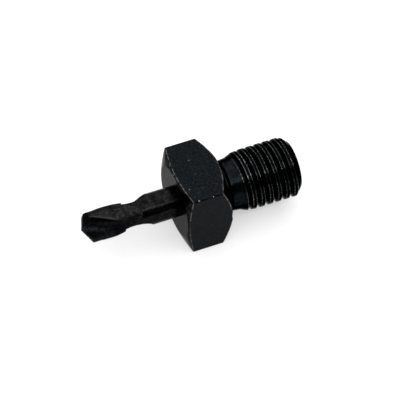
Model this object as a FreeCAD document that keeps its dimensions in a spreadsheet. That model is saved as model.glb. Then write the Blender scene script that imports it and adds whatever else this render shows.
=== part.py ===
import FreeCAD, Part
import math
import os
import Sketcher

# Twist drill with a threaded shank, turned and ground from one square bar.
# X runs along the tool: the drill point is at -X and the thread ends at +X.
# Z is up, and the tool lies on one flat of its square collar.
# The origin is the centre of the shoulder face, where the thread meets the collar.
# Lengths are in millimetres and angles in degrees.

doc = FreeCAD.newDocument("DrillBit")

sizes = {
    # square collar
    "collar_width": 7.94,
    "collar_length": 4.80,
    "collar_edge": 0.12,
    "face_radius": 3.72,
    "face_cone": 0.49,
    "shoulder_radius": 3.95,
    "shoulder_cone": 1.05,
    # drill
    "drill_diameter": 3.264,
    "drill_reach": 10.11,
    "point_angle": 135,
    "lip_relief": 9,
    "lip_relief_width": 0.3,
    "heel_relief": 30,
    # flutes and lands
    "flute_lead": 20,
    "flute_length": 5.3,
    "flute_radius": 0.95,
    "web_radius": 0.3,
    "flute_phase": -16,
    "wheel_radius": 2.6,
    "wheel_tilt": 22,
    "exit_angle": 65,
    "approach_angle": 12,
    "margin_angle": 10,
    "land_angle": 100,
    "clearance_depth": 0.055,
    "clearance_length": 6.1,
    "lip_phase": 11.5,
    # neck and thread
    "neck_radius": 2.45,
    "neck_length": 0.45,
    "entry_length": 0.25,
    "entry_radius": 2.68,
    "taper_length": 0.8,
    "taper_radius": 2.76,
    "ramp_length": 0.7,
    "ramp_radius": 3.05,
    "lead_length": 0.9,
    "thread_diameter": 6.32,
    "threads_per_inch": 28,
    "thread_depth": 0.46,
    "root_flat": 0.2,
    "flank_angle": 30,
    "thread_start": 0.794,
    "thread_end": 8.19,
    "end_chamfer": 0.65,
    # how far a cutter reaches past the metal
    "overrun": 0.6,
    "thread_overrun": 0.06,
}

sheet = doc.addObject("Spreadsheet::Sheet", "Sizes")
for row, (name, size) in enumerate(sizes.items(), start=1):
    sheet.set("A%d" % row, name)
    sheet.set("B%d" % row, str(size))
    sheet.setAlias("B%d" % row, name)
doc.recompute()

body = doc.addObject("PartDesign::Body", "DrillBit")
body.Label = "drill_bit"
planes = {feature.Role: feature for feature in body.Origin.OriginFeatures}


def newSketch(name, role, placement=None):
    sketch = body.newObject("Sketcher::SketchObject", name)
    sketch.AttachmentSupport = (planes[role], [""])
    sketch.MapMode = "FlatFace"
    if placement:
        sketch.setExpression("AttachmentOffset", placement)
    return sketch


def bind(sketch, kind, place, formula):
    # A dimension of the sketch follows a formula on the sheet.
    index = sketch.addConstraint(Sketcher.Constraint(kind, *place, sketch.evalExpression(formula)))
    sketch.setExpression("Constraints[%d]" % index, formula)


def placePoint(sketch, geometry, position, across, along):
    if across == "0":
        sketch.addConstraint(Sketcher.Constraint("PointOnObject", geometry, position, -2))
    else:
        bind(sketch, "DistanceX", (-1, 1, geometry, position), across)
    if along == "0":
        sketch.addConstraint(Sketcher.Constraint("PointOnObject", geometry, position, -1))
    else:
        bind(sketch, "DistanceY", (-1, 1, geometry, position), along)


def drawOutline(sketch, corners):
    points = []
    for across, along in corners:
        points.append(FreeCAD.Vector(sketch.evalExpression(across), sketch.evalExpression(along), 0))
    count = len(points)
    for index, point in enumerate(points):
        sketch.addGeometry(Part.LineSegment(point, points[(index + 1) % count]))
    for index, (across, along) in enumerate(corners):
        sketch.addConstraint(Sketcher.Constraint("Coincident", index, 2, (index + 1) % count, 1))
        placePoint(sketch, index, 1, across, along)
    doc.recompute()


def drawFlute(sketch, farSide):
    # One flute in cross-section: a radial wall under the cutting edge, a quarter
    # round that touches the web, and a straight wall out to the heel of the next land.
    # Outside the drill its corner is cut off square to the deepest line of the flute.
    radius = sketch.evalExpression("Sizes.flute_radius")
    reach = sketch.evalExpression(farSide)
    centre = sketch.evalExpression(fluteCentre)
    corners = [
        FreeCAD.Vector(reach, 0, 0),
        FreeCAD.Vector(centre, 0, 0),
        FreeCAD.Vector(centre - radius, -radius, 0),
        FreeCAD.Vector(centre - radius, -reach, 0),
        FreeCAD.Vector(sketch.evalExpression(chordStart % farSide), -reach, 0),
        FreeCAD.Vector(reach, sketch.evalExpression(chordEnd % farSide), 0),
    ]
    quarter = Part.Circle(FreeCAD.Vector(centre, -radius, 0), FreeCAD.Vector(0, 0, 1), radius)
    sketch.addGeometry(Part.LineSegment(corners[0], corners[1]))
    sketch.addGeometry(Part.ArcOfCircle(quarter, math.radians(90), math.radians(180)))
    sketch.addGeometry(Part.LineSegment(corners[2], corners[3]))
    sketch.addGeometry(Part.LineSegment(corners[3], corners[4]))
    sketch.addGeometry(Part.LineSegment(corners[4], corners[5]))
    sketch.addGeometry(Part.LineSegment(corners[5], corners[0]))
    for index in range(6):
        sketch.addConstraint(Sketcher.Constraint("Coincident", index, 2, (index + 1) % 6, 1))
    sketch.addConstraint(Sketcher.Constraint("Vertical", 1, 1, 1, 3))
    sketch.addConstraint(Sketcher.Constraint("Horizontal", 1, 2, 1, 3))
    bind(sketch, "Radius", (1,), "Sizes.flute_radius")
    placePoint(sketch, 1, 3, fluteCentre, "-Sizes.flute_radius")
    placePoint(sketch, 0, 1, farSide, "0")
    sketch.addConstraint(Sketcher.Constraint("Horizontal", 3))
    placePoint(sketch, 4, 1, chordStart % farSide, "-(" + farSide + ")")
    placePoint(sketch, 5, 1, farSide, chordEnd % farSide)
    doc.recompute()


def drawLandClearance(sketch):
    # The ring that is ground off each land behind its margin.
    inner = sketch.evalExpression(clearanceRadius)
    outer = sketch.evalExpression(cutterReach)
    start = math.radians(sketch.evalExpression("Sizes.margin_angle"))
    end = math.radians(sketch.evalExpression("Sizes.land_angle"))
    origin = FreeCAD.Vector(0, 0, 0)
    axis = FreeCAD.Vector(0, 0, 1)
    innerArc = Part.ArcOfCircle(Part.Circle(origin, axis, inner), start, end)
    outerArc = Part.ArcOfCircle(Part.Circle(origin, axis, outer), start, end)
    sketch.addGeometry(innerArc)
    sketch.addGeometry(outerArc)
    sketch.addGeometry(Part.LineSegment(innerArc.StartPoint, outerArc.StartPoint))
    sketch.addGeometry(Part.LineSegment(innerArc.EndPoint, outerArc.EndPoint))
    for first, second in [((0, 1), (2, 1)), ((1, 1), (2, 2)), ((0, 2), (3, 1)), ((1, 2), (3, 2))]:
        sketch.addConstraint(Sketcher.Constraint("Coincident", *first, *second))
    sketch.addConstraint(Sketcher.Constraint("Coincident", 0, 3, -1, 1))
    sketch.addConstraint(Sketcher.Constraint("Coincident", 1, 3, -1, 1))
    bind(sketch, "Radius", (0,), clearanceRadius)
    bind(sketch, "Radius", (1,), cutterReach)
    bind(sketch, "DistanceY", (-1, 1, 0, 1), clearanceRadius + " * sin(Sizes.margin_angle)")
    bind(sketch, "DistanceX", (-1, 1, 0, 2), clearanceRadius + " * cos(Sizes.land_angle)")
    sketch.addConstraint(Sketcher.Constraint("PointOnObject", -1, 1, 2))
    sketch.addConstraint(Sketcher.Constraint("PointOnObject", -1, 1, 3))
    doc.recompute()


def addFeature(kind, name, sketch, **settings):
    feature = body.newObject("PartDesign::" + kind, name)
    feature.Profile = sketch
    for key, setting in settings.items():
        if isinstance(setting, str):
            feature.setExpression(key, setting)
        else:
            setattr(feature, key, setting)
    doc.recompute()
    return feature


def turned(kind, name, corners):
    # Corners are given along X and out from it, and spun round X.
    sketch = newSketch(name + "Outline", "XZ_Plane")
    drawOutline(sketch, corners)
    return addFeature(kind, name, sketch, ReferenceAxis=(sketch, ["H_Axis"]), Angle=360)


def helicalCut(name, sketch, axis, pitch, length):
    return addFeature("SubtractiveHelix", name, sketch, ReferenceAxis=(sketch, [axis]), Mode=0,
                      Pitch=pitch, Height=length)


drillRadius = "Sizes.drill_diameter / 2"
halfPoint = "Sizes.point_angle / 2"
tip = "-(Sizes.collar_length + Sizes.drill_reach)"
blankEnd = "-(Sizes.collar_length + Sizes.drill_reach + Sizes.overrun / 2)"
cutterReach = "Sizes.drill_diameter / 2 + Sizes.overrun"
clearanceRadius = "(Sizes.drill_diameter / 2 - Sizes.clearance_depth)"
fluteCentre = "sqrt((Sizes.flute_radius + Sizes.web_radius) ^ 2 - Sizes.flute_radius ^ 2)"
deepest = "atan(Sizes.flute_radius / " + fluteCentre + ")"
chordStart = "(%s) * (1 - sin(" + deepest + ")) / cos(" + deepest + ")"
chordEnd = "-(%s) * (1 - cos(" + deepest + ")) / sin(" + deepest + ")"

# The collar is a length of the square bar itself, with softly rounded long edges.
barStart = "placement(vector(0; 0; -Sizes.collar_length); rotationz(0))"
barSketch = newSketch("BarSection", "YZ_Plane", barStart)
halfWidth = "Sizes.collar_width / 2"
drawOutline(barSketch, [
    (halfWidth, halfWidth),
    ("-" + halfWidth, halfWidth),
    ("-" + halfWidth, "-" + halfWidth),
    (halfWidth, "-" + halfWidth),
])
bar = addFeature("Pad", "Bar", barSketch, Length="Sizes.collar_length")
longEdges = []
for index, edge in enumerate(bar.Shape.Edges, start=1):
    if abs(edge.tangentAt(edge.FirstParameter).x) > 0.9:
        longEdges.append("Edge%d" % index)
rounded = body.newObject("PartDesign::Fillet", "BarEdges")
rounded.Base = (bar, longEdges)
rounded.setExpression("Radius", "Sizes.collar_edge")
doc.recompute()

# Both ends of the collar are turned to shallow cones round a flat face.
cornerReach = "Sizes.collar_width / 2 * sqrt(2)"
turned("Groove", "FrontCone", [
    ("-Sizes.collar_length", "Sizes.face_radius"),
    ("-Sizes.collar_length + Sizes.face_cone", cornerReach),
    ("-Sizes.collar_length + Sizes.face_cone", cornerReach + " + Sizes.overrun"),
    ("-Sizes.collar_length - Sizes.overrun", cornerReach + " + Sizes.overrun"),
    ("-Sizes.collar_length - Sizes.overrun", "Sizes.face_radius"),
])
turned("Groove", "BackCone", [
    ("0", "Sizes.shoulder_radius"),
    ("Sizes.overrun", "Sizes.shoulder_radius"),
    ("Sizes.overrun", cornerReach + " + Sizes.overrun"),
    ("-Sizes.shoulder_cone", cornerReach + " + Sizes.overrun"),
    ("-Sizes.shoulder_cone", cornerReach),
])

# Round blank of the drill, longer than the finished point.
turned("Revolution", "DrillBlank", [
    (blankEnd, "0"),
    (blankEnd, drillRadius),
    ("-Sizes.collar_length / 2", drillRadius),
    ("-Sizes.collar_length / 2", "0"),
])

# The flute climbs round the drill from the point. It ends where the grinding wheel
# leaves it, so that the drill is round and plain where it meets the collar.
def onTwist(distance, lean=""):
    # Section plane at a distance behind the point, turned with the flute.
    place = "vector(0; 0; " + tip + " + " + distance + ")"
    turn = "rotationz(Sizes.flute_phase + 360 / Sizes.flute_lead * (" + distance + "))"
    return "placement(" + place + "; " + turn + lean + ")"


ahead = "(-Sizes.overrun / 2)"
fluteSketch = newSketch("FluteSection", "YZ_Plane", onTwist(ahead))
drawFlute(fluteSketch, cutterReach)
fluteCut = "Sizes.flute_length - " + ahead
flute = helicalCut("Flute", fluteSketch, "N_Axis", "Sizes.flute_lead", fluteCut)

# The wheel stands over the deepest line of the flute and leans with its twist.
leaning = " * rotationz(-" + deepest + ") * rotationx(-Sizes.wheel_tilt) * rotationz(" + deepest + ")"
exitSketch = newSketch("ExitSection", "YZ_Plane", onTwist("Sizes.flute_length", leaning))
drawFlute(exitSketch, "(Sizes.drill_diameter / 2 + Sizes.overrun / 2)")
wheelOff = "(Sizes.web_radius + Sizes.wheel_radius)"
axleLine = Part.LineSegment(FreeCAD.Vector(1, -3, 0), FreeCAD.Vector(3, -1, 0))
axle = exitSketch.addGeometry(axleLine, True)
for end, side in ((1, " - "), (2, " + ")):
    across = wheelOff + " * cos(" + deepest + ")" + side + "Sizes.overrun * sin(" + deepest + ")"
    along = "-" + wheelOff + " * sin(" + deepest + ")" + side + "Sizes.overrun * cos(" + deepest + ")"
    placePoint(exitSketch, axle, end, across, along)
doc.recompute()
twoAngles = 4
leave = addFeature("Groove", "FluteExit", exitSketch, ReferenceAxis=(exitSketch, ["Axis0"]),
                   Type=twoAngles, Angle="Sizes.exit_angle", Angle2="Sizes.approach_angle")

# Each land keeps its full diameter only along a narrow margin by the flute.
landSketch = newSketch("LandSection", "YZ_Plane", onTwist(ahead))
drawLandClearance(landSketch)
landLength = "Sizes.clearance_length - " + ahead
land = helicalCut("LandClearance", landSketch, "N_Axis", "Sizes.flute_lead", landLength)

# The flank behind each cutting edge is ground in two planes, the second one steeper.
flankTurn = "rotationz(Sizes.lip_phase + 90) * rotationx(" + halfPoint + ")"
flankPlane = "placement(vector(0; 0; " + tip + "); " + flankTurn + ")"
flankSketch = newSketch("FlankSection", "YZ_Plane", flankPlane)
lipDrop = "tan(Sizes.lip_relief)"
heelDrop = "tan(Sizes.heel_relief)"
ridge = "Sizes.lip_relief_width * " + lipDrop
behindRidge = "(" + cutterReach + " - Sizes.lip_relief_width)"
drawOutline(flankSketch, [
    ("-(" + cutterReach + ")", "-(" + cutterReach + ") * " + lipDrop),
    ("Sizes.lip_relief_width", ridge),
    (cutterReach, ridge + " + " + behindRidge + " * " + heelDrop),
    (cutterReach, "-2 * (" + cutterReach + ")"),
    ("-(" + cutterReach + ")", "-2 * (" + cutterReach + ")"),
])
flank = addFeature("Pocket", "Flank", flankSketch, Length="4 * (" + cutterReach + ")", Midplane=True)

# The second flute, land and flank are half a turn round from the first.
pair = body.newObject("PartDesign::PolarPattern", "BothLips")
pair.Originals = [flute, leave, land, flank]
pair.Axis = (planes["X_Axis"], [""])
pair.Angle = 360
pair.Occurrences = 2
body.Tip = pair
doc.recompute()

# Relief neck, a ramp up to the full thread, and a chamfered end.
entryEnd = "Sizes.neck_length + Sizes.entry_length"
taperEnd = entryEnd + " + Sizes.taper_length"
rampEnd = taperEnd + " + Sizes.ramp_length"
turned("Revolution", "ThreadBlank", [
    ("-Sizes.collar_length / 2", "0"),
    ("-Sizes.collar_length / 2", "Sizes.neck_radius"),
    ("Sizes.neck_length", "Sizes.neck_radius"),
    (entryEnd, "Sizes.entry_radius"),
    (taperEnd, "Sizes.taper_radius"),
    (rampEnd, "Sizes.ramp_radius"),
    (rampEnd + " + Sizes.lead_length", "Sizes.thread_diameter / 2"),
    ("Sizes.thread_end - Sizes.end_chamfer", "Sizes.thread_diameter / 2"),
    ("Sizes.thread_end", "Sizes.thread_diameter / 2 - Sizes.end_chamfer"),
    ("Sizes.thread_end", "0"),
])

# One groove with 60 degrees between its flanks and a narrow flat at its root.
# It starts in the neck below the axis, where the blank is thinner than the root.
pitch = "25.4 / Sizes.threads_per_inch"
rootRadius = "(Sizes.thread_diameter / 2 - Sizes.thread_depth)"
grooveTop = "(Sizes.thread_diameter / 2 + Sizes.thread_overrun)"
halfTop = "(Sizes.root_flat / 2 + (Sizes.thread_depth + Sizes.thread_overrun) * tan(Sizes.flank_angle))"
grooveSketch = newSketch("ThreadGroove", "XZ_Plane")
drawOutline(grooveSketch, [
    ("Sizes.thread_start - Sizes.root_flat / 2", "-" + rootRadius),
    ("Sizes.thread_start + Sizes.root_flat / 2", "-" + rootRadius),
    ("Sizes.thread_start + " + halfTop, "-" + grooveTop),
    ("Sizes.thread_start - " + halfTop, "-" + grooveTop),
])
grooveLength = "Sizes.thread_end - Sizes.thread_start + " + pitch
thread = helicalCut("Thread", grooveSketch, "H_Axis", pitch, grooveLength)

doc.recompute()

for item in doc.Objects:
    if "Invalid" in item.State or "Error" in item.State:
        raise RuntimeError(item.Name + " failed to recompute")
parts = [body]
for part in parts:
    if part.Shape.isNull() or not part.Shape.isValid():
        raise RuntimeError(part.Label + " has no valid shape")
    if len(part.Shape.Solids) != 1:
        raise RuntimeError(part.Label + " is not one solid")

os.makedirs("parts", exist_ok=True)
for part in parts:
    part.Shape.exportStep("parts/" + part.Label + ".step")
    print(part.Label, round(part.Shape.Volume, 1), "cubic mm")
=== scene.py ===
import math

import bpy
from mathutils import Matrix, Vector


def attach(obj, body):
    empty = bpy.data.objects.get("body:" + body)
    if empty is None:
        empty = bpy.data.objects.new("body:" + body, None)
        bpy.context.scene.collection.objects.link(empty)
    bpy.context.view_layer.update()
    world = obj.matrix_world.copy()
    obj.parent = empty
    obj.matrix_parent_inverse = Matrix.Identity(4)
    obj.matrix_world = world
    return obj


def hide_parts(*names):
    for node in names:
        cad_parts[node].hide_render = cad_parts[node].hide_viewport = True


# A short twist drill with a square collar and a threaded shank, one piece of blackened steel.
# The metal is shaped in millimetres and brought down to metres when it is finished.

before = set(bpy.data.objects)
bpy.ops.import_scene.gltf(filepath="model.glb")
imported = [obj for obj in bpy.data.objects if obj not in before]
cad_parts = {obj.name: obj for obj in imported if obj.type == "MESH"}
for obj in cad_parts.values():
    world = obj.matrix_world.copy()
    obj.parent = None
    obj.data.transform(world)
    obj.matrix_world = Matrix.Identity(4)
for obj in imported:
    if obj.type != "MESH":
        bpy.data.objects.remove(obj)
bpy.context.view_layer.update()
print("frame loaded")

mm = 0.001


# working in edit mode

def leaveEdit():
    if bpy.context.object and bpy.context.object.mode != "OBJECT":
        bpy.ops.object.mode_set(mode="OBJECT")


def pickNothing():
    leaveEdit()
    bpy.ops.object.select_all(action="DESELECT")


def workOn(piece):
    pickNothing()
    piece.select_set(True)
    bpy.context.view_layer.objects.active = piece


def applyPlace():
    bpy.ops.object.transform_apply(location=True, rotation=True, scale=True)


def editAll():
    bpy.ops.object.mode_set(mode="EDIT")
    bpy.ops.mesh.select_all(action="SELECT")


def pick(piece, kind, test):
    # marks the corners or edges that the test finds, and stays in edit mode
    workOn(piece)
    bpy.ops.object.mode_set(mode="EDIT")
    bpy.ops.mesh.select_mode(type=kind)
    bpy.ops.mesh.select_all(action="DESELECT")
    bpy.ops.object.mode_set(mode="OBJECT")
    for thing in {"VERT": piece.data.vertices, "EDGE": piece.data.edges}[kind]:
        thing.select = bool(test(thing))
    bpy.ops.object.mode_set(mode="EDIT")


def tidyNormals(piece):
    workOn(piece)
    editAll()
    bpy.ops.mesh.remove_doubles(threshold=0.0005)
    bpy.ops.mesh.normals_make_consistent(inside=False)
    leaveEdit()


def useModifier(piece, kind, **settings):
    workOn(piece)
    modifier = piece.modifiers.new(kind.title(), kind)
    for key, value in settings.items():
        setattr(modifier, key, value)
    bpy.ops.object.modifier_apply(modifier=modifier.name)


def joinWith(piece, other, operation):
    useModifier(piece, "BOOLEAN", object=other, operation=operation, solver="EXACT")
    bpy.data.objects.remove(other)


def startRing(name, radius, sides):
    # a filled ring across the tool's axis, all picked in edit mode
    pickNothing()
    bpy.ops.mesh.primitive_circle_add(vertices=sides, radius=radius, rotation=(0, math.pi / 2, 0),
                                      fill_type="NGON")
    ring = bpy.context.object
    ring.name = name
    applyPlace()
    editAll()
    return ring


def turnedBar(name, stations, sides):
    # a ring drawn out along X, station by station, as (place, radius)
    place, radius = stations[0]
    bar = startRing(name, radius, sides)
    bpy.ops.transform.translate(value=(place, 0, 0))
    for nextPlace, nextRadius in stations[1:]:
        bpy.ops.mesh.extrude_region_move(TRANSFORM_OT_translate={"value": (nextPlace - place, 0, 0)})
        grow = nextRadius / radius
        bpy.ops.transform.resize(value=(1, grow, grow), center_override=(nextPlace, 0, 0))
        place, radius = nextPlace, nextRadius
    tidyNormals(bar)
    return bar


def turnPicked(degrees):
    # turns what is picked round the tool's axis, from +Y towards +Z
    bpy.ops.transform.rotate(value=-math.radians(degrees), orient_axis="X", orient_type="GLOBAL",
                             center_override=(0, 0, 0))


def drawTwisted(rows):
    # draws out what is picked along X and turns it with the flutes
    step = drill["step"]
    for row in range(rows):
        bpy.ops.mesh.extrude_region_move(TRANSFORM_OT_translate={"value": (step, 0, 0)})
        turnPicked(360 / drill["lead"] * step)


# the collar: a length of square bar with both ends turned

collar = {
    "width": 7.94,
    "front": -4.80,
    "frontCorner": -4.31,  # where the front taper reaches the bar's corners
    "faceRadius": 3.72,
    "backCorner": -1.05,
    "shoulderRadius": 3.95,
    "longEdge": 0.16,
    "turnedEdge": 0.10,
    "latheSides": 128,
    "latheRun": 0.4,  # how far the turned outline runs on past the corners
    # painted glints: small bright spots that stand in for glints on the collar, place along, across and up,
    # then reach
    "glints": [
        (-3.67, -3.93, 3.93, 0.10),
        (-2.13, -3.93, 3.93, 0.07),
        (-2.66, 1.39, 3.97, 0.08),
        (-4.04, -2.17, 3.97, 0.09),
        (-4.69, 1.58, 3.83, 0.14),
        (-4.77, 0.35, 3.75, 0.16),
        (-4.80, 2.10, 2.05, 0.20),
    ],
}


def makeCollar():
    width = collar["width"]
    length = -collar["front"]
    pickNothing()
    bpy.ops.mesh.primitive_cube_add(size=1, location=(-length / 2, 0, 0), scale=(length, width, width))
    bar = bpy.context.object
    bar.name = "drillBitMetal"
    applyPlace()

    def runsAlong(edge):
        start, end = (bar.data.vertices[index].co for index in edge.vertices)
        return abs(start.x - end.x) > 1
    pick(bar, "EDGE", runsAlong)
    bpy.ops.mesh.bevel(offset=collar["longEdge"], segments=4, affect="EDGES")
    cornerRadius = width / math.sqrt(2)
    run = collar["latheRun"]
    frontSlope = (cornerRadius - collar["faceRadius"]) / (collar["frontCorner"] - collar["front"])
    backSlope = (cornerRadius - collar["shoulderRadius"]) / -collar["backCorner"]
    lathe = turnedBar("turnedEnds", [
        (collar["front"], collar["faceRadius"]),
        (collar["frontCorner"] + run, cornerRadius + frontSlope * run),
        (collar["backCorner"] - run, cornerRadius + backSlope * run),
        (0, collar["shoulderRadius"]),
    ], collar["latheSides"])
    joinWith(bar, lathe, "INTERSECT")
    useModifier(bar, "WELD", merge_threshold=0.03)  # slivers would stop the bevel
    tidyNormals(bar)
    useModifier(bar, "BEVEL", width=collar["turnedEdge"], segments=3, limit_method="ANGLE",
                angle_limit=math.radians(30), profile=0.5, use_clamp_overlap=False)
    return bar


# the shank: relief neck and thread

shank = {
    "inCollar": -2.0,
    "neckRadius": 2.45,
    "neckFillet": 0.15,
    "filletSteps": 4,
    "neckEnd": 0.45,
    "entryEnd": 0.70,
    "entryRadius": 2.68,
    "taperEnd": 1.50,
    "taperRadius": 2.76,
    "rampEnd": 2.20,
    "rampRadius": 3.05,
    "leadEnd": 3.10,
    "crestRadius": 3.16,
    "end": 8.19,
    "endChamfer": 0.65,
    "sides": 192,
    "pitch": 25.4 / 28,
    "depth": 0.39,
    "flankAngle": 30.0,
    "rootFlat": 0.10,
    "rootRound": 0.035,
    "grooveStart": 0.794,
    "cutterProud": 0.06,
    "stepsPerTurn": 96,
}


def makeThreadCutter():
    # a trapezium below the axis, wound into a right-hand helix
    root = shank["crestRadius"] - shank["depth"]
    top = shank["crestRadius"] + shank["cutterProud"]
    middle = (top + root) / 2
    halfTop = shank["rootFlat"] / 2 + (top - root) * math.tan(math.radians(shank["flankAngle"]))
    pickNothing()
    bpy.ops.mesh.primitive_plane_add(size=1, rotation=(math.pi / 2, 0, 0))
    cutter = bpy.context.object
    cutter.name = "threadCutter"
    applyPlace()
    editAll()
    bpy.ops.transform.resize(value=(shank["rootFlat"], 1, top - root))
    bpy.ops.transform.translate(value=(shank["grooveStart"], 0, -middle))
    pick(cutter, "VERT", lambda corner: corner.co.z < -middle)
    bpy.ops.transform.resize(value=(halfTop * 2 / shank["rootFlat"], 1, 1),
                             center_override=(shank["grooveStart"], 0, 0))
    pick(cutter, "VERT", lambda corner: corner.co.z > -middle)
    bpy.ops.mesh.bevel(offset=shank["rootRound"], segments=2, affect="VERTICES")
    bpy.ops.mesh.select_all(action="SELECT")
    bpy.ops.mesh.delete(type="ONLY_FACE")
    turns = math.ceil((shank["end"] - shank["grooveStart"]) / shank["pitch"]) + 1
    useModifier(cutter, "SCREW", axis="X", angle=math.tau, screw_offset=shank["pitch"], iterations=turns,
                steps=shank["stepsPerTurn"], render_steps=shank["stepsPerTurn"], use_smooth_shade=False)
    workOn(cutter)
    bpy.ops.object.mode_set(mode="EDIT")
    bpy.ops.mesh.select_mode(type="EDGE")
    bpy.ops.mesh.select_all(action="DESELECT")
    bpy.ops.mesh.select_non_manifold(extend=False)
    bpy.ops.mesh.fill_holes(sides=0)
    tidyNormals(cutter)
    return cutter


def makeShank():
    neck = shank["neckRadius"]
    fillet = shank["neckFillet"]
    stations = [(shank["inCollar"], neck + fillet), (0, neck + fillet)]
    for step in range(1, shank["filletSteps"] + 1):
        angle = math.radians(90 * step / shank["filletSteps"])
        stations.append((fillet * (1 - math.cos(angle)), neck + fillet * (1 - math.sin(angle))))
    stations += [
        (shank["neckEnd"], neck),
        (shank["entryEnd"], shank["entryRadius"]),
        (shank["taperEnd"], shank["taperRadius"]),
        (shank["rampEnd"], shank["rampRadius"]),
        (shank["leadEnd"], shank["crestRadius"]),
        (shank["end"] - shank["endChamfer"], shank["crestRadius"]),
        (shank["end"], shank["crestRadius"] - shank["endChamfer"]),
    ]
    blank = turnedBar("threadBlank", stations, shank["sides"])
    joinWith(blank, makeThreadCutter(), "DIFFERENCE")
    tidyNormals(blank)
    return blank


# the drill: two helical flutes, ground lands and a faceted point

drill = {
    "radius": 1.632,
    "tip": -14.91,
    "blankStart": -15.5,
    "inCollar": -4.0,
    "sides": 180,
    "step": 0.1,
    "lead": 20.0,
    "phase": -16.0,
    "fluteRadius": 0.95,
    "fluteSteps": 14,
    "webRadius": 0.30,
    "fluteLength": 5.3,
    "fluteBefore": 0.2,  # how far ahead of the blank the flutes start
    "fluteReach": 3.0,
    "wheelRadius": 2.6,
    "wheelTilt": 22.0,
    "wheelSteps": 36,
    "wheelProud": 0.3,
    "exitAngle": 65.0,
    "approachAngle": 12.0,
    "marginAngle": 10.0,
    "landAngle": 100.0,
    "clearance": 0.055,
    "clearanceEnd": -8.78,  # the ground-back strip ends in a tongue, curved back from its middle
    "clearanceMiddle": 36.0,
    "clearanceCurve": 0.00042,
    "pointAngle": 135.0,
    "lipPhase": 11.5,
    "lipRelief": 9.0,
    "lipWidth": 0.3,
    "heelRelief": 30.0,
}


def twistAt(place):
    return drill["phase"] + 360 / drill["lead"] * (place - drill["tip"])


def makeDrillBlank():
    # the ring turns with the flutes as it is drawn out, so that rows of corners follow the lands
    blank = startRing("drillBlank", drill["radius"], drill["sides"])
    start = drill["blankStart"]
    bpy.ops.transform.translate(value=(start, 0, 0))
    turnPicked(twistAt(start))
    drawTwisted(round((drill["inCollar"] - start) / drill["step"]))

    def onClearance(corner):
        around = (math.degrees(math.atan2(corner.co.z, corner.co.y)) - twistAt(corner.co.x)) % 180
        end = drill["clearanceEnd"] - drill["clearanceCurve"] * (around - drill["clearanceMiddle"]) ** 2
        return drill["marginAngle"] + 0.5 < around < drill["landAngle"] and corner.co.x < end
    pick(blank, "VERT", onClearance)
    sink = (drill["radius"] - drill["clearance"]) / drill["radius"]
    bpy.ops.transform.resize(value=(1, sink, sink), center_override=(0, 0, 0))
    tidyNormals(blank)
    return blank


def fluteSection(name, far):
    # across the flute: a radial wall, a quarter round that touches the web, a straight wall
    radius = drill["fluteRadius"]
    near = math.sqrt((radius + drill["webRadius"]) ** 2 - radius ** 2) - radius
    pickNothing()
    bpy.ops.mesh.primitive_plane_add(size=1, rotation=(0, math.pi / 2, 0))
    cutter = bpy.context.object
    cutter.name = name
    applyPlace()
    editAll()
    bpy.ops.transform.resize(value=(1, far - near, far))
    bpy.ops.transform.translate(value=(0, (far + near) / 2, -far / 2))
    pick(cutter, "VERT", lambda corner: corner.co.y < near + 0.01 and corner.co.z > -0.01)
    bpy.ops.mesh.bevel(offset=radius, segments=drill["fluteSteps"], affect="VERTICES")
    bpy.ops.mesh.select_all(action="SELECT")
    return cutter


def makeFluteCutter(halfTurn):
    cutter = fluteSection("fluteCutter", drill["fluteReach"])
    start = drill["blankStart"] - drill["fluteBefore"]
    bpy.ops.transform.translate(value=(start, 0, 0))
    turnPicked(twistAt(start) + halfTurn)
    drawTwisted(round((drill["tip"] + drill["fluteLength"] - start) / drill["step"]))
    tidyNormals(cutter)
    return cutter


def makeExitCutter(halfTurn):
    # the grinding wheel stands over the deepest line of the flute and leans with its twist
    radius = drill["fluteRadius"]
    deepest = -math.asin(radius / (radius + drill["webRadius"]))
    outward = Vector((0, math.cos(deepest), math.sin(deepest)))
    axle = Vector((0, -outward.z, outward.y))
    centre = outward * (drill["webRadius"] + drill["wheelRadius"])
    cutter = fluteSection("exitCutter", drill["radius"] + drill["wheelProud"])
    leaveEdit()
    lean = Matrix.Rotation(-math.radians(drill["approachAngle"]), 4, axle)
    cutter.matrix_world = Matrix.Translation(centre) @ lean @ Matrix.Translation(-centre)
    applyPlace()
    editAll()
    # spin turns the other way, so its angle is given with a minus
    bpy.ops.mesh.spin(steps=drill["wheelSteps"], center=centre, axis=axle,
                      angle=-math.radians(drill["approachAngle"] + drill["exitAngle"]))
    leaveEdit()
    start = drill["tip"] + drill["fluteLength"]
    turned = Matrix.Rotation(math.radians(twistAt(start) + halfTurn), 4, "X")
    tilted = Matrix.Rotation(-math.radians(drill["wheelTilt"]), 4, outward)
    cutter.matrix_world = Matrix.Translation((start, 0, 0)) @ turned @ tilted
    applyPlace()
    tidyNormals(cutter)
    return cutter


def grindFlanks(piece, halfTurn):
    # a narrow flat behind each lip, then a steeper one down to the heel
    halfPoint = math.radians(drill["pointAngle"] / 2)
    lip = math.radians(drill["lipPhase"] + halfTurn)
    tip = Vector((drill["tip"], 0, 0))
    along = Vector((0, math.cos(lip), math.sin(lip)))
    behind = Vector((0, -math.sin(lip), math.cos(lip)))
    inward = Vector((math.sin(halfPoint), 0, 0)) - along * math.cos(halfPoint)
    lipDrop = math.tan(math.radians(drill["lipRelief"]))
    heelDrop = math.tan(math.radians(drill["heelRelief"]))
    width = drill["lipWidth"]
    facets = [
        (tip, inward - behind * lipDrop),
        (tip + behind * width + inward * width * lipDrop, inward - behind * heelDrop),
    ]
    for place, normal in facets:
        workOn(piece)
        editAll()
        bpy.ops.mesh.bisect(plane_co=place, plane_no=normal.normalized(), use_fill=True, clear_inner=True)
    leaveEdit()


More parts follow.
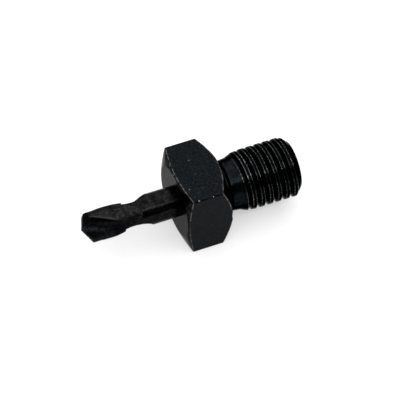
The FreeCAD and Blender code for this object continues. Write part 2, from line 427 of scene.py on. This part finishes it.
def makeDrill():
    blank = makeDrillBlank()
    for halfTurn in (0, 180):
        joinWith(blank, makeFluteCutter(halfTurn), "DIFFERENCE")
        joinWith(blank, makeExitCutter(halfTurn), "DIFFERENCE")
        tidyNormals(blank)
    for halfTurn in (0, 180):
        grindFlanks(blank, halfTurn)
    tidyNormals(blank)
    return blank


# the whole tool

bit = makeCollar()
print("collar turned")
joinWith(bit, makeShank(), "UNION")
print("thread cut")
joinWith(bit, makeDrill(), "UNION")
print("drill ground")
tidyNormals(bit)


# finishes

class Shade:
    # a shader value that can be written into sums

    def __init__(self, tree, socket=None):
        self.tree = tree
        self.socket = socket

    def node(self, kind, settings=None, inputs=None, output=0):
        made = self.tree.nodes.new(kind)
        for key, value in (settings or {}).items():
            setattr(made, key, value)
        for key, value in (inputs or {}).items():
            if isinstance(value, Shade):
                self.tree.links.new(value.socket, made.inputs[key])
            else:
                made.inputs[key].default_value = value
        return Shade(self.tree, made.outputs[output])

    def other(self, output):
        # another output of the node that this value comes from
        return Shade(self.tree, self.socket.node.outputs[output])

    def sum(self, operation, first, second=0.0):
        return self.node("ShaderNodeMath", {"operation": operation}, {0: first, 1: second})

    def __add__(self, other):
        return self.sum("ADD", self, other)

    __radd__ = __add__

    def __sub__(self, other):
        return self.sum("SUBTRACT", self, other)

    def __rsub__(self, other):
        return self.sum("SUBTRACT", other, self)

    def __mul__(self, other):
        return self.sum("MULTIPLY", self, other)

    __rmul__ = __mul__

    def __truediv__(self, other):
        return self.sum("DIVIDE", self, other)

    def smooth(self, low, high):
        return self.node("ShaderNodeMapRange", {"interpolation_type": "SMOOTHSTEP"},
                         {"Value": self, "From Min": low, "From Max": high})


def noise(base, place, scale, detail, roughness=0.55):
    return base.node("ShaderNodeTexNoise", {}, {"Vector": place, "Scale": scale, "Detail": detail,
                                                "Roughness": roughness})


def blend(base, factor, first, second):
    def colour(value):
        return value if isinstance(value, Shade) else (*value, 1)
    return base.node("ShaderNodeMix", {"data_type": "RGBA"},
                     {0: factor, 6: colour(first), 7: colour(second)}, 2)


def newFinish(name, rim):
    # blackened steel: a dark mirror whose rim is darker than bare metal's
    material = bpy.data.materials.new(name)
    material.use_nodes = True
    tree = material.node_tree
    shader = tree.nodes["Principled BSDF"]
    shader.inputs["Metallic"].default_value = 1.0
    shader.inputs["Specular Tint"].default_value = (rim, rim, rim, 1)
    base = Shade(tree)
    place = base.node("ShaderNodeTexCoord", {}, {}, "Object")
    return material, shader, base, place


def setFinish(base, shader, colour, roughness, height, strength=0.35, distance=0.03):
    base.tree.links.new(colour.socket, shader.inputs["Base Color"])
    base.tree.links.new(roughness.socket, shader.inputs["Roughness"])
    bump = base.node("ShaderNodeBump", {}, {"Strength": strength, "Distance": distance * mm, "Height": height})
    base.tree.links.new(bump.socket, shader.inputs["Normal"])


def roundAxis(base, place):
    # the place along the axis, the turn round it in radians from +Y to +Z, and the distance from it
    along = base.node("ShaderNodeSeparateXYZ", {}, {"Vector": place})
    across, upward = along.other("Y"), along.other("Z")
    turn = base.sum("ARCTAN2", upward, across)
    reach = base.sum("SQRT", across * across + upward * upward)
    return along, turn, reach


def glintMask(base, place):
    # each painted glint is whole to 0.4 of its reach and fades out from there
    mask = 0.0
    for along, across, upward, reach in collar["glints"]:
        spot = (along * mm, across * mm, upward * mm)
        apart = base.node("ShaderNodeVectorMath", {"operation": "DISTANCE"}, {0: place, 1: spot}, "Value")
        mask = mask + (1 - apart.smooth(reach * 0.4 * mm, reach * mm))
    return mask


drawnBar = {
    "rim": 0.85,
    "blue": (0.0021, 0.0036, 0.0047),
    "grey": (0.0027, 0.0035, 0.0047),
    "grain": (0.0088, 0.0107, 0.0119),
    "speck": (0.06, 0.065, 0.065),
    # the colour of the painted glints
    "glint": (0.10, 0.11, 0.11),
    "dull": 0.44,
    "dullSwing": 0.16,
}


def barFinish():
    # drawn bar surface, matt blue-black
    material, shader, base, place = newFinish("blackened drawn bar", drawnBar["rim"])
    blotch = noise(base, place, 900.0, 2.0)
    grain = noise(base, place, 6000.0, 3.0)
    speck = noise(base, place, 3200.0, 1.0).smooth(0.74, 0.78)
    colour = blend(base, blotch.smooth(0.35, 0.65), drawnBar["blue"], drawnBar["grey"])
    colour = blend(base, grain.smooth(0.43, 0.60), colour, drawnBar["grain"])
    colour = blend(base, speck * 0.5, colour, drawnBar["speck"])
    # painted glints
    colour = blend(base, glintMask(base, place), colour, drawnBar["glint"])
    roughness = drawnBar["dull"] + grain * drawnBar["dullSwing"]
    setFinish(base, shader, colour, roughness, grain * 0.8 + blotch, 0.4, 0.04)
    return material


turnedFace = {
    "rim": 0.45,
    "valley": (0.004, 0.004, 0.004),
    "ridge": (0.0128, 0.0128, 0.0124),
    "grain": (0.028, 0.0272, 0.0250),
    "torn": (0.060, 0.058, 0.053),
    # the colour of the painted glints
    "glint": (0.12, 0.115, 0.105),
    "dull": 0.14,
    "dullSwing": 0.16,
}


def turnedFinish():
    # lathe marks run round the axis
    material, shader, base, place = newFinish("blackened turned steel", turnedFace["rim"])
    reach = roundAxis(base, place)[2]
    marks = base.node("ShaderNodeTexNoise", {"noise_dimensions": "1D"},
                      {"W": reach, "Scale": 9000.0, "Detail": 3.0, "Roughness": 0.6})
    grain = noise(base, place, 2500.0, 3.0)
    torn = noise(base, place, 3600.0, 2.0, 0.7).smooth(0.60, 0.70)
    colour = blend(base, marks.smooth(0.3, 0.7), turnedFace["valley"], turnedFace["ridge"])
    colour = blend(base, grain.smooth(0.42, 0.74), colour, turnedFace["grain"])
    colour = blend(base, torn, colour, turnedFace["torn"])
    # painted glints
    colour = blend(base, glintMask(base, place), colour, turnedFace["glint"])
    roughness = turnedFace["dull"] + grain * turnedFace["dullSwing"]
    setFinish(base, shader, colour, roughness, marks + grain * 0.4)
    return material


cutThread = {
    "rim": 0.40,
    "neckDark": (0.0030, 0.0042, 0.0048),
    "neckPale": (0.0090, 0.0105, 0.0112),
    # the cut thread's near black is partly painted shade; the next two colours are the painted highlight's and
    # the last is the painted glints'
    "dark": (0.0013, 0.0015, 0.0017),
    "highlightDark": (0.020, 0.0215, 0.022),
    "highlightPale": (0.074, 0.078, 0.080),
    "threadGlint": (0.26, 0.265, 0.265),
    "dull": 0.13,
    "dullSwing": 0.16,
    # the painted highlight on the edge of a crest, in pitches from the crest's middle: in from, whole, out
    # from, gone
    "edge": (0.160, 0.180, 0.215, 0.245),
    "cutStart": (1.6, 2.4),  # along the axis the plain taper gives way to the cut thread
    "crestOnly": (2.80, 2.96),
}


def threadFinish():
    # each crest has two painted highlight lines along its edges, and the cut thread between them is near
    # black, partly blackened steel and partly painted shade
    material, shader, base, place = newFinish("blackened thread", cutThread["rim"])
    along, turn, reach = roundAxis(base, place)
    # whole turns of the helix, with 0.5 on the middle of a crest
    wound = (along - shank["grooveStart"] * mm) / (shank["pitch"] * mm) - turn / math.tau + 0.75
    fromCrest = base.sum("ABSOLUTE", base.sum("FRACT", wound) - 0.5)
    edgeIn, edgeWhole, edgeOut, edgeGone = cutThread["edge"]
    # painted highlight lines along both edges of each crest
    edge = fromCrest.smooth(edgeIn, edgeWhole) * (1 - fromCrest.smooth(edgeOut, edgeGone))
    cutFrom, cutWhole = cutThread["cutStart"]
    cut = along.smooth(cutFrom * mm, cutWhole * mm)
    crestFrom, crestWhole = cutThread["crestOnly"]
    edge = edge * cut * reach.smooth(crestFrom * mm, crestWhole * mm)
    streak = noise(base, place, 2600.0, 3.0)
    grain = noise(base, place, 9000.0, 2.0)
    # painted glints scattered over the crest highlights
    threadGlint = noise(base, place, 5200.0, 1.0).smooth(0.60, 0.68)
    colour = blend(base, streak.smooth(0.35, 0.7), cutThread["neckDark"], cutThread["neckPale"])
    # the cut thread is laid near black, partly painted shade
    colour = blend(base, cut, colour, cutThread["dark"])
    # the painted highlight colour, with its glints, is laid on the crest edges
    bright = blend(base, streak.smooth(0.3, 0.6), cutThread["highlightDark"], cutThread["highlightPale"])
    bright = blend(base, threadGlint, bright, cutThread["threadGlint"])
    colour = blend(base, edge, colour, bright)
    roughness = cutThread["dull"] + streak * cutThread["dullSwing"]
    setFinish(base, shader, colour, roughness, grain + streak)
    return material


groundSteel = {
    "rim": 0.45,
    "dark": (0.0050, 0.0050, 0.0053),
    "pale": (0.0125, 0.0122, 0.0120),
    "mottle": (0.0215, 0.0210, 0.0208),
    # the flutes' darker colours are painted shade in the hollows
    "fluteShadeDark": (0.0034, 0.0036, 0.0046),
    "fluteShadePale": (0.0105, 0.0110, 0.0125),
    # the colour of the painted highlight along each heel edge; heelLine, heelReach and heelFade place it
    "heel": (0.036, 0.035, 0.034),
    "dull": 0.34,
    "dullSwing": 0.20,
    "fluteReach": (1.25, 1.50),  # from the axis the flute's dark gives way to the land
    "heelLine": (77, 82, 86, 89),  # degrees round from the margin: in from, whole, out from, gone
    "heelReach": (1.40, 1.50),
    "heelFade": (-12.1, -11.2),
}


def groundFinish():
    # the flutes, lands and point as the wheel left them
    material, shader, base, place = newFinish("blackened ground steel", groundSteel["rim"])
    along, turn, reach = roundAxis(base, place)
    twist = drill["phase"] + (along * (1 / mm) - drill["tip"]) * (360 / drill["lead"])
    around = base.sum("FLOORED_MODULO", turn * math.degrees(1) - twist, 180.0)
    # a painted highlight along each heel edge, out near the rim and only near the point
    heelIn, heelWhole, heelOut, heelGone = groundSteel["heelLine"]
    heel = around.smooth(heelIn, heelWhole) * (1 - around.smooth(heelOut, heelGone))
    near, far = groundSteel["heelReach"]
    fadeFrom, fadeTo = groundSteel["heelFade"]
    heel = heel * reach.smooth(near * mm, far * mm) * (1 - along.smooth(fadeFrom * mm, fadeTo * mm))
    streak = noise(base, place, 1500.0, 3.0)
    grain = noise(base, place, 7000.0, 2.0)
    mottle = noise(base, place, 3600.0, 2.0, 0.7)
    # inside the flutes the colour is darker: painted shade
    shadedFlute = blend(base, mottle.smooth(0.40, 0.62), groundSteel["fluteShadeDark"], groundSteel["fluteShadePale"])
    colour = blend(base, streak.smooth(0.35, 0.65), groundSteel["dark"], groundSteel["pale"])
    colour = blend(base, mottle.smooth(0.48, 0.66), colour, groundSteel["mottle"])
    # from the axis out, the flutes' painted shade gives way to the land's colour
    near, far = groundSteel["fluteReach"]
    colour = blend(base, reach.smooth(near * mm, far * mm), shadedFlute, colour)
    # the painted highlight laid on the heel edges
    colour = blend(base, heel * 0.55, colour, groundSteel["heel"])
    roughness = groundSteel["dull"] + streak * groundSteel["dullSwing"]
    setFinish(base, shader, colour, roughness, grain + streak)
    return material


plainShank = {
    "rim": 0.60,
    "dark": (0.0034, 0.0034, 0.0038),
    "pale": (0.0110, 0.0110, 0.0112),
    "fleck": (0.032, 0.032, 0.033),
    "dull": 0.10,
    "dullSwing": 0.12,
}


def plainShankFinish():
    # the round part behind the flutes, oily and smooth
    material, shader, base, place = newFinish("blackened drill shank", plainShank["rim"])
    streak = noise(base, place, 1900.0, 3.0)
    grain = noise(base, place, 8000.0, 2.0)
    fleck = noise(base, place, 3400.0, 1.0).smooth(0.69, 0.74)
    colour = blend(base, streak.smooth(0.35, 0.7), plainShank["dark"], plainShank["pale"])
    colour = blend(base, fleck, colour, plainShank["fleck"])
    roughness = plainShank["dull"] + streak * plainShank["dullSwing"]
    setFinish(base, shader, colour, roughness, grain + streak)
    return material


# the bar's rounded long edges are darker than its flats, and where the turned ends meet
# the flats the rounded corner is painted pale, a painted highlight
longEdge = {
    "name": "blackened long edge",
    "rim": 0.55,
    "streak": (0.35, 0.65),
    "dark": (0.0020, 0.0026, 0.0030),
    "pale": (0.0060, 0.0066, 0.0070),
    # the colour of the painted glints
    "glint": (0.30, 0.31, 0.31),
    "dull": 0.12,
    "dullSwing": 0.10,
}

# the turned corners' pale colour is a painted highlight
edgeHighlight = {
    "name": "turned edge painted highlight",
    "rim": 0.60,
    "streak": (0.38, 0.62),
    "dark": (0.016, 0.017, 0.017),
    "pale": (0.085, 0.086, 0.082),
    # the colour of the painted glints
    "glint": (0.30, 0.29, 0.27),
    "dull": 0.20,
    "dullSwing": 0.14,
}


def edgeFinish(edge):
    material, shader, base, place = newFinish(edge["name"], edge["rim"])
    streak = noise(base, place, 2200.0, 3.0)
    colour = blend(base, streak.smooth(*edge["streak"]), edge["dark"], edge["pale"])
    # painted glints
    colour = blend(base, glintMask(base, place), colour, edge["glint"])
    roughness = edge["dull"] + streak * edge["dullSwing"]
    setFinish(base, shader, colour, roughness, streak, 0.3)
    return material


for finish in (barFinish(), turnedFinish(), threadFinish(), groundFinish(), plainShankFinish(),
               edgeFinish(longEdge), edgeFinish(edgeHighlight)):
    bit.data.materials.append(finish)
onFlat, onTurned, onThread, onGround, onPlainShank, onLongEdge, onEdgeHighlight = range(7)

# a face is told by its place and by the way it looks
sorting = {
    "threadFrom": shank["neckEnd"] - 0.2,
    "threadReach": 3.3,
    "endFace": 0.95,
    "drillTo": collar["front"] - 0.01,
    "drillReach": 1.8,
    "groundReach": drill["radius"] - 0.004,
    "barFrom": collar["width"] / 2 - 0.25,
    "barReach": collar["width"] * 0.75,
    "flat": 0.999,
    "longEdge": 0.05,
    "turnedEdge": 0.80,
}


def finishFor(face):
    place = face.center
    reach = math.hypot(place.y, place.z)
    onShank = place.x > sorting["threadFrom"] and reach < sorting["threadReach"]
    if onShank and face.normal.x < sorting["endFace"]:
        return onThread
    if place.x < sorting["drillTo"] and reach < sorting["groundReach"]:
        return onGround
    if place.x < sorting["drillTo"] and reach < sorting["drillReach"]:
        return onPlainShank
    facing = abs(face.normal.x)
    if max(abs(place.y), abs(place.z)) > sorting["barFrom"] and reach < sorting["barReach"]:
        if max(abs(part) for part in face.normal) > sorting["flat"]:
            return onFlat
        if facing < sorting["longEdge"]:
            return onLongEdge
        # rounded turned corners take the finish with the painted highlight
        if facing < sorting["turnedEdge"]:
            return onEdgeHighlight
    return onTurned


for face in bit.data.polygons:
    face.material_index = finishFor(face)

workOn(bit)
bpy.ops.transform.resize(value=(mm, mm, mm), center_override=(0, 0, 0))
applyPlace()
bpy.ops.object.shade_smooth_by_angle(angle=math.radians(28))
wideFace = 5 * mm * mm
for face in bit.data.polygons:
    if face.area > wideFace:
        face.use_smooth = False  # the bar's flats and the turned faces stay dead flat
bit.name = "drill_bit_metal"
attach(bit, "root")
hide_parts("drill_bit")
print("finishes laid on,", len(bit.data.polygons), "faces")


# the studio: a white paper floor under one wide softbox overhead that reaches over to the back,
# with the room on the camera's side left dark

studio = {
    "floorSize": 6.0,
    "floorColour": (0.93, 0.93, 0.93),
    "floorRoughness": 0.9,
    "lift": 0.5,
    "worldStrength": 0.16,
    # each lamp's place, what it points at, its size and its power
    "lamps": {
        "topBox": ((0.10, 0.26, 0.50), (0.10, 0.26, 0), (1.4, 1.28), 10.5),
        "frontStrip": ((0.10, -0.32, 0.499), (0.10, -0.32, 0), (1.4, 0.10), 1.8),
        "backBox": ((0.10, 0.92, 0.32), (0.10, 0, 0.20), (1.4, 0.34), 2.4),
    },
}

pickNothing()
bpy.ops.mesh.primitive_plane_add(size=studio["floorSize"], location=(0, 0, -collar["width"] / 2 * mm))
floor = bpy.context.object
floor.name = "floor"
applyPlace()
paper = bpy.data.materials.new("white paper")
paper.use_nodes = True
paperTree = paper.node_tree
paperShader = paperTree.nodes["Principled BSDF"]
paperShader.inputs["Base Color"].default_value = (*studio["floorColour"], 1)
paperShader.inputs["Roughness"].default_value = studio["floorRoughness"]
paperShader.inputs["Specular IOR Level"].default_value = 0.0
# seen by the camera or in the metal, the paper is lifted towards white and keeps part of the shadow
paperBase = Shade(paperTree)
seen = paperBase.node("ShaderNodeLightPath", {}, {}, "Is Camera Ray")
lift = (seen + seen.other("Is Glossy Ray")) * studio["lift"]
glow = paperBase.node("ShaderNodeEmission", {}, {"Color": (1, 1, 1, 1), "Strength": 1.0})
plain = Shade(paperTree, paperShader.outputs[0])
lifted = paperBase.node("ShaderNodeMixShader", {}, {0: lift, 1: plain, 2: glow})
paperTree.links.new(lifted.socket, paperTree.nodes["Material Output"].inputs["Surface"])
floor.data.materials.append(paper)

for name, (place, aim, size, power) in studio["lamps"].items():
    lampData = bpy.data.lights.new(name, "AREA")
    lampData.shape = "RECTANGLE"
    lampData.size, lampData.size_y = size
    lampData.energy = power
    lamp = bpy.data.objects.new(name, lampData)
    bpy.context.scene.collection.objects.link(lamp)
    lamp.location = place
    lamp.rotation_euler = (Vector(aim) - Vector(place)).to_track_quat("-Z", "Y").to_euler()

world = bpy.data.worlds.new("room")
bpy.context.scene.world = world
world.use_nodes = True
world.node_tree.nodes["Background"].inputs["Color"].default_value = (1, 1, 1, 1)
world.node_tree.nodes["Background"].inputs["Strength"].default_value = studio["worldStrength"]

bpy.context.scene.view_settings.view_transform = "Standard"


# the camera: in front of the tool, above it and a little to the point's side

view = {
    "azimuth": -21.9,
    "elevation": 50.62,
    "distance": 400.0,
    "lens": 353.27,
    "aside": -0.89,
    "above": -0.95,
    "target": -1.05,
}

turn = math.radians(view["azimuth"])
rise = math.radians(view["elevation"])
back = Vector((math.sin(turn) * math.cos(rise), -math.cos(turn) * math.cos(rise), math.sin(rise)))
right = Vector((math.cos(turn), math.sin(turn), 0))
up = back.cross(right)
cameraData = bpy.data.cameras.new("camera")
cameraData.sensor_width = 36
cameraData.lens = view["lens"]
cameraData.clip_start = 0.01
cameraData.clip_end = 20
camera = bpy.data.objects.new("camera", cameraData)
bpy.context.scene.collection.objects.link(camera)
place = Vector((view["target"], 0, 0)) + back * view["distance"] + right * view["aside"] + up * view["above"]
camera.matrix_world = Matrix.Translation(place * mm) @ Matrix((right, up, back)).transposed().to_4x4()
bpy.context.scene.camera = camera
print("studio set")
